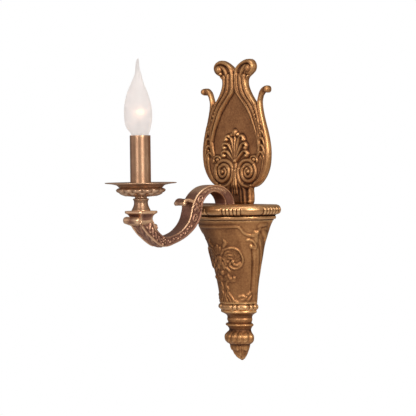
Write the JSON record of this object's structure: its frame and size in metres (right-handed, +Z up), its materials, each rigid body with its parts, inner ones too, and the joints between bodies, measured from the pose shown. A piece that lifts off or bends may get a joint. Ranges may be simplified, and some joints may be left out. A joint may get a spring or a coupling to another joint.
{
  "type": "wall sconce candle holder",
  "caption": "Antique brass wall sconce: half round bracket, tulip back plate, scrolled arm, drip pan and electric candle with flame-tip bulb.",
  "frame": {"origin": "on the wall plane, midway between the two wall screws", "axes": "+Y into the wall, -Y out towards the room, +Z up, +X to the right seen from the room"},
  "size_m": [0.148, 0.2215, 0.3979],
  "materials": {
    "antique_brass": "cast brass, aged brown in the recesses and rubbed lighter on the relief",
    "rubbed_brass": "cast brass, aged, with bright rubbed beads and fillets",
    "satin_brass": "turned and spun brass, satin, aged",
    "arm_bronze": "cast brass with a purple brown patina, lighter on its edges",
    "plain_brass": "plain machined brass",
    "zinc_steel": "zinc plated steel",
    "bright_nickel": "nickel plated brass",
    "solder": "dull solder",
    "tungsten": "tungsten coil and support wires",
    "black_rubber": "matt black rubber",
    "white_plastic": "off-white polyamide",
    "bakelite": "black thermoset",
    "brown_insulation": "brown wire insulation",
    "blue_insulation": "blue wire insulation",
    "green_insulation": "green and yellow wire insulation",
    "frosted_glass": "frosted white glass, lit warm from inside",
    "clear_glass": "clear glass"
  },
  "bodies": {
    "sconce": {"back_plate": "antique_brass", "top_plate": "antique_brass", "rim_collar": "rubbed_brass", "bracket_shell": "antique_brass", "bead_ring": "rubbed_brass", "finial": "antique_brass", "wall_strap": "zinc_steel", "strap_shelf": "zinc_steel", "hanger_screws": "zinc_steel", "shell_screws": "zinc_steel", "plate_screws": "zinc_steel", "finial_screw": "zinc_steel", "cable_grommet": "black_rubber", "terminal_block": "white_plastic", "terminal_sleeves": "plain_brass", "terminal_screws": "zinc_steel", "block_screw": "zinc_steel", "earth_screw": "zinc_steel", "live_wire": "brown_insulation", "neutral_wire": "blue_insulation", "earth_wire": "green_insulation", "arm": "arm_bronze", "arm_nipple": "plain_brass", "arm_washer": "zinc_steel", "arm_nut": "plain_brass", "spool": "satin_brass", "petal_cup": "rubbed_brass", "drip_pan": "satin_brass", "candle_nipple": "plain_brass", "pan_nut": "plain_brass", "lampholder_body": "bakelite", "holder_terminals": "plain_brass", "holder_screws": "zinc_steel", "screw_shell": "plain_brass"},
    "bulb": {"bulb_glass": "frosted_glass", "bulb_cap": "bright_nickel", "bulb_insulator": "bakelite", "bulb_stem": "clear_glass", "filament": "tungsten"},
    "bulb_button": {"bulb_tip_contact": "solder"},
    "candle_sleeve": {"candle_tube": "satin_brass"},
    "contact": {"centre_contact": "plain_brass"}
  },
  "joints": [
    {"name": "bulb_lift", "type": "slide", "parent": "sconce", "child": "bulb_button", "axis": [0, 0, 1], "range_m": [0, 0.01125]},
    {"name": "bulb_turn", "type": "hinge", "parent": "bulb_button", "child": "bulb", "pos_m": [0, -0.1765, 0.13], "axis": [0, 0, 1], "range_deg": [0, 1440]},
    {"name": "tube_turn", "type": "hinge", "parent": "sconce", "child": "candle_sleeve", "pos_m": [0, -0.1765, 0.11], "axis": [0, 0, 1], "continuous": true},
    {"name": "contact_press", "type": "slide", "parent": "sconce", "child": "contact", "axis": [0, 0, 1], "range_m": [-0.0012, 0], "stiffness_N_per_m": 400, "springref_m": 0.0006}
  ],
  "couplings": [
    {"joint": "bulb_turn", "follows": "bulb_lift", "rad_per_m": 2228.1}
  ]
}
